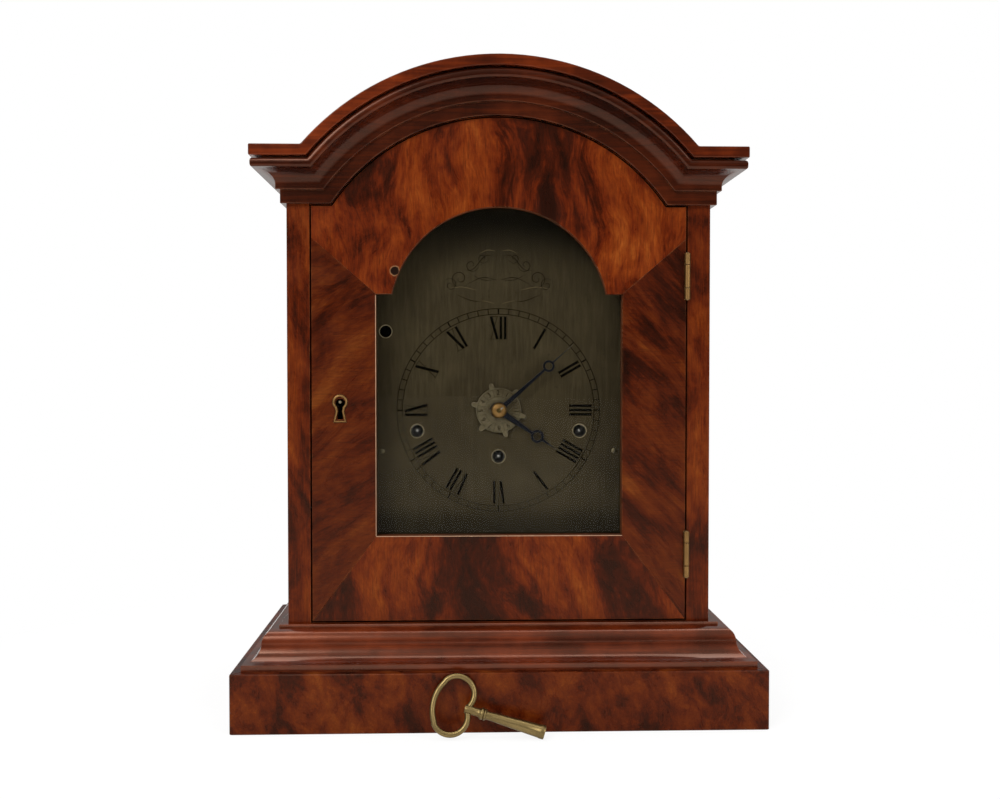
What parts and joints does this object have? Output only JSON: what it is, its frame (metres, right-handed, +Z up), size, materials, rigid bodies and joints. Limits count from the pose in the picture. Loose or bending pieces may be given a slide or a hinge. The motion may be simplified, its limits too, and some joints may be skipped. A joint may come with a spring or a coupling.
{
  "type": "bracket clock",
  "caption": "Arched mahogany bracket clock with hinged glazed doors, silvered alarm dial, geared hands, pendulum, bell and winding key.",
  "frame": {"origin": "centre of the clock's base, on the plane of the plinth's underside", "axes": "+Z up, the dial faces -Y, +X to the right of someone who reads the dial"},
  "size_m": [0.322, 0.2416, 0.405],
  "materials": {
    "veneer": "polished figured mahogany veneer",
    "moulding": "polished dark red mahogany",
    "carcase": "plain oak and pine",
    "brass": "aged lacquered",
    "bell_metal": "turned bell metal",
    "steel": "polished steel",
    "blued": "blued steel",
    "silvered": "silvered and engraved",
    "glass": "thin clear window glass"
  },
  "bodies": {
    "clock_case": {"plinth": "veneer", "base_board": "carcase", "base_moulding_front": "moulding", "base_moulding_sides": "moulding", "side_left": "veneer", "side_right": "veneer", "sill_rails": "carcase", "front_arch_rail": "veneer", "rear_arch_rail": "carcase", "cap": "moulding", "cornice_front": "moulding", "cornice_sides": "moulding", "front_hinge_case_leaves": "brass", "rear_hinge_case_leaves": "brass", "dial_plate": "silvered", "dial_feet": "brass", "front_plate": "brass", "back_plate": "brass", "movement_pillars": "brass", "seat_board": "carcase", "seat_bolts": "steel", "back_cock": "brass", "bell": "bell_metal", "bell_stand": "steel"},
    "front_door": {"door_bottom_rail": "veneer", "door_stile_lock": "veneer", "door_stile_hinge": "veneer", "door_head": "veneer", "door_glass": "glass", "door_beads": "moulding", "escutcheon": "brass", "lock_case": "brass", "front_hinge_door_leaves": "brass"},
    "bolt": {"lock_bolt": "steel"},
    "rear_door": {"rear_door_frame": "veneer", "rear_door_glass": "glass", "rear_door_knob": "brass", "rear_hinge_door_leaves": "brass"},
    "centre": {"centre_arbor": "brass"},
    "minute_work": {"cannon_pinion": "steel", "minute_hand": "blued", "hand_collet": "brass"},
    "minute_wheel": {"minute_wheel": "brass"},
    "hour_work": {"hour_wheel": "brass", "hour_hand": "blued"},
    "alarm_setting": {"alarm_disc": "silvered"},
    "great_wheel": {"going_barrel": "brass"},
    "third": {"third_wheel": "brass"},
    "escape": {"escape_wheel": "brass"},
    "strike_spring": {"strike_barrel": "brass"},
    "alarm_spring": {"alarm_barrel": "brass"},
    "going_winder": {"going_winding_arbor": "steel"},
    "strike_winder": {"strike_winding_arbor": "steel"},
    "alarm_winder": {"alarm_winding_arbor": "steel"},
    "pallet_arbor": {"pallets": "steel"},
    "pendulum": {"pendulum_rod": "steel", "pendulum_bob": "brass"},
    "hammer": {"strike_hammer": "steel"},
    "key": {"winding_key": "brass"}
  },
  "joints": [
    {"name": "front_door_hinge", "type": "hinge", "parent": "clock_case", "child": "front_door", "pos_m": [0.116, -0.0754, 0.188], "axis": [0, 0, 1], "range_deg": [0, 105]},
    {"name": "bolt_slide", "type": "slide", "parent": "front_door", "child": "bolt", "axis": [-1, 0, 0], "range_m": [0, 0.006]},
    {"name": "rear_door_hinge", "type": "hinge", "parent": "clock_case", "child": "rear_door", "pos_m": [0.116, 0.1059, 0.188], "axis": [0, 0, -1], "range_deg": [0, 105]},
    {"name": "centre_turn", "type": "hinge", "parent": "clock_case", "child": "centre", "pos_m": [0, 0, 0.1905], "axis": [0, 1, 0], "continuous": true},
    {"name": "minute_turn", "type": "hinge", "parent": "clock_case", "child": "minute_work", "pos_m": [0, -0.058, 0.1905], "axis": [0, 1, 0], "continuous": true},
    {"name": "minute_wheel_turn", "type": "hinge", "parent": "clock_case", "child": "minute_wheel", "pos_m": [-0.01516, -0.04, 0.19925], "axis": [0, 1, 0], "continuous": true},
    {"name": "hour_turn", "type": "hinge", "parent": "clock_case", "child": "hour_work", "pos_m": [0, -0.055, 0.1905], "axis": [0, 1, 0], "continuous": true},
    {"name": "alarm_set_turn", "type": "hinge", "parent": "hour_work", "child": "alarm_setting", "pos_m": [0, -0.0535, 0.1905], "axis": [0, 1, 0], "continuous": true},
    {"name": "great_wheel_turn", "type": "hinge", "parent": "clock_case", "child": "great_wheel", "pos_m": [0, 0, 0.161], "axis": [0, 1, 0], "continuous": true},
    {"name": "third_turn", "type": "hinge", "parent": "clock_case", "child": "third", "pos_m": [0.01342, 0, 0.20887], "axis": [0, 1, 0], "continuous": true},
    {"name": "escape_turn", "type": "hinge", "parent": "clock_case", "child": "escape", "pos_m": [0, 0, 0.2225], "axis": [0, 1, 0], "continuous": true},
    {"name": "strike_spring_turn", "type": "hinge", "parent": "clock_case", "child": "strike_spring", "pos_m": [-0.0517, 0, 0.1773], "axis": [0, 1, 0], "continuous": true},
    {"name": "alarm_spring_turn", "type": "hinge", "parent": "clock_case", "child": "alarm_spring", "pos_m": [0.0517, 0, 0.1773], "axis": [0, 1, 0], "continuous": true},
    {"name": "going_wind", "type": "hinge", "parent": "clock_case", "child": "going_winder", "pos_m": [0, -0.02, 0.161], "axis": [0, 1, 0], "continuous": true},
    {"name": "strike_wind", "type": "hinge", "parent": "clock_case", "child": "strike_winder", "pos_m": [-0.0517, -0.02, 0.1773], "axis": [0, 1, 0], "continuous": true},
    {"name": "alarm_wind", "type": "hinge", "parent": "clock_case", "child": "alarm_winder", "pos_m": [0.0517, -0.02, 0.1773], "axis": [0, 1, 0], "continuous": true},
    {"name": "pallet_swing", "type": "hinge", "parent": "clock_case", "child": "pallet_arbor", "pos_m": [0, 0, 0.2395], "axis": [0, 1, 0], "range_deg": [-3.5, 3.5]},
    {"name": "pendulum_swing", "type": "hinge", "parent": "clock_case", "child": "pendulum", "pos_m": [0, 0.033, 0.2395], "axis": [0, 1, 0], "range_deg": [-3.5, 3.5]},
    {"name": "hammer_lift", "type": "hinge", "parent": "clock_case", "child": "hammer", "pos_m": [-0.016, 0, 0.238], "axis": [0, -1, 0], "range_deg": [0, 12], "stiffness_Nm_per_rad": 0.02},
    {"name": "key_lift", "type": "slide", "parent": "clock_case", "child": "key", "axis": [0, 0, 1], "range_m": [0, 0.12]}
  ],
  "couplings": [
    {"joint": "minute_turn", "follows": "centre_turn", "ratio": 1},
    {"joint": "minute_wheel_turn", "follows": "centre_turn", "ratio": -0.33333},
    {"joint": "hour_turn", "follows": "centre_turn", "ratio": 0.083333},
    {"joint": "great_wheel_turn", "follows": "centre_turn", "ratio": -0.1},
    {"joint": "third_turn", "follows": "centre_turn", "ratio": -10},
    {"joint": "escape_turn", "follows": "centre_turn", "ratio": 100},
    {"joint": "pallet_swing", "follows": "pendulum_swing", "ratio": 1}
  ]
}
